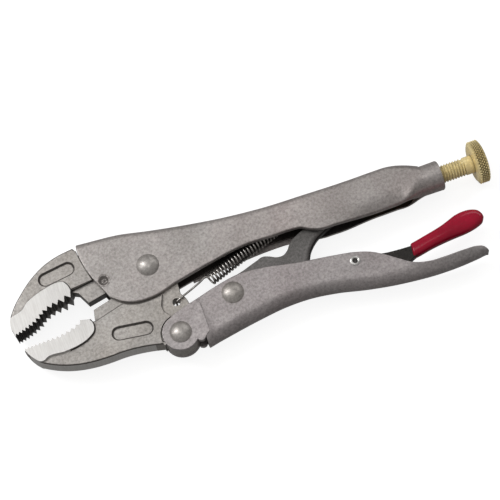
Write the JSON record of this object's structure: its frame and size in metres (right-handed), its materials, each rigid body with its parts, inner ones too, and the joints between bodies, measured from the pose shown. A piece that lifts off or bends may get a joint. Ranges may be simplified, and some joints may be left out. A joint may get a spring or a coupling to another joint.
{
  "type": "locking pliers",
  "caption": "Curved-jaw locking pliers with toothed jaws, riveted toggle handles, a return spring, a release lever with a soft grip and a brass adjusting screw; the jaw opens by a linkage",
  "frame": {"origin": "on the axis of the jaw pivot rivet, on the flat of its rear head, which rests on the ground", "axes": "X from the jaws towards the adjusting knob, parallel to the adjusting screw; Y towards the back of the fixed handle; Z through the thickness, away from the rear rivet heads"},
  "size_m": [0.2536, 0.0776, 0.0222],
  "materials": {
    "fixed_handle": "satin, bead blasted",
    "fixed_jaw": "satin forged steel, ground pads",
    "plug_welds": "raw weld metal",
    "jaw_pivot_rivet": "satin",
    "adjusting_screw": "yellow brass plate, knurled knob",
    "moving_jaw": "satin forged steel, ground pads",
    "moving_handle": "satin, bead blasted",
    "handle_pivot_rivet": "satin",
    "link_rivet": "satin",
    "toggle_link": "dark rolled steel with a black back",
    "release_lever": "dark oxide steel",
    "lever_grip": "glossy dark red dipped plastic",
    "lever_pin": "bright tubular rivet",
    "tension_spring": "dark spring steel"
  },
  "bodies": {
    "fixed_side": {"fixed_handle": "fixed_handle", "fixed_jaw": "fixed_jaw", "plug_welds": "plug_welds", "jaw_pivot_rivet": "jaw_pivot_rivet", "tension_spring": "tension_spring"},
    "screw": {"adjusting_screw": "adjusting_screw"},
    "jaw": {"moving_jaw": "moving_jaw"},
    "handle": {"moving_handle": "moving_handle", "handle_pivot_rivet": "handle_pivot_rivet", "link_rivet": "link_rivet", "lever_pin": "lever_pin"},
    "link": {"toggle_link": "toggle_link"},
    "lever": {"release_lever": "release_lever", "lever_grip": "lever_grip"}
  },
  "joints": [
    {"name": "jaw_pivot", "type": "hinge", "parent": "fixed_side", "child": "jaw", "pos_m": [0, 0, 0.0086], "axis": [0, 0, 1], "range_deg": [0, 10], "deforming": ["tension_spring"]},
    {"name": "handle_pivot", "type": "hinge", "parent": "jaw", "child": "handle", "pos_m": [0.0043, -0.0394, 0.0086], "axis": [0, 0, 1], "range_deg": [-41.2, 0]},
    {"name": "link_pivot", "type": "hinge", "parent": "handle", "child": "link", "pos_m": [0.0352, -0.0287, 0.0086], "axis": [0, 0, 1], "range_deg": [0, 44.8]},
    {"name": "lever_pivot", "type": "hinge", "parent": "handle", "child": "lever", "pos_m": [0.0978, -0.0344, 0.0086], "axis": [0, 0, 1], "range_deg": [-8, 0]},
    {"name": "screw_turn", "type": "hinge", "parent": "fixed_side", "child": "screw", "pos_m": [0.15, -0.0039, 0.0086], "axis": [1, 0, 0], "continuous": true}
  ],
  "couplings": [
    {"joint": "handle_pivot", "follows": "jaw_pivot", "ratio": -4.1136},
    {"joint": "link_pivot", "follows": "jaw_pivot", "ratio": 4.4761}
  ]
}
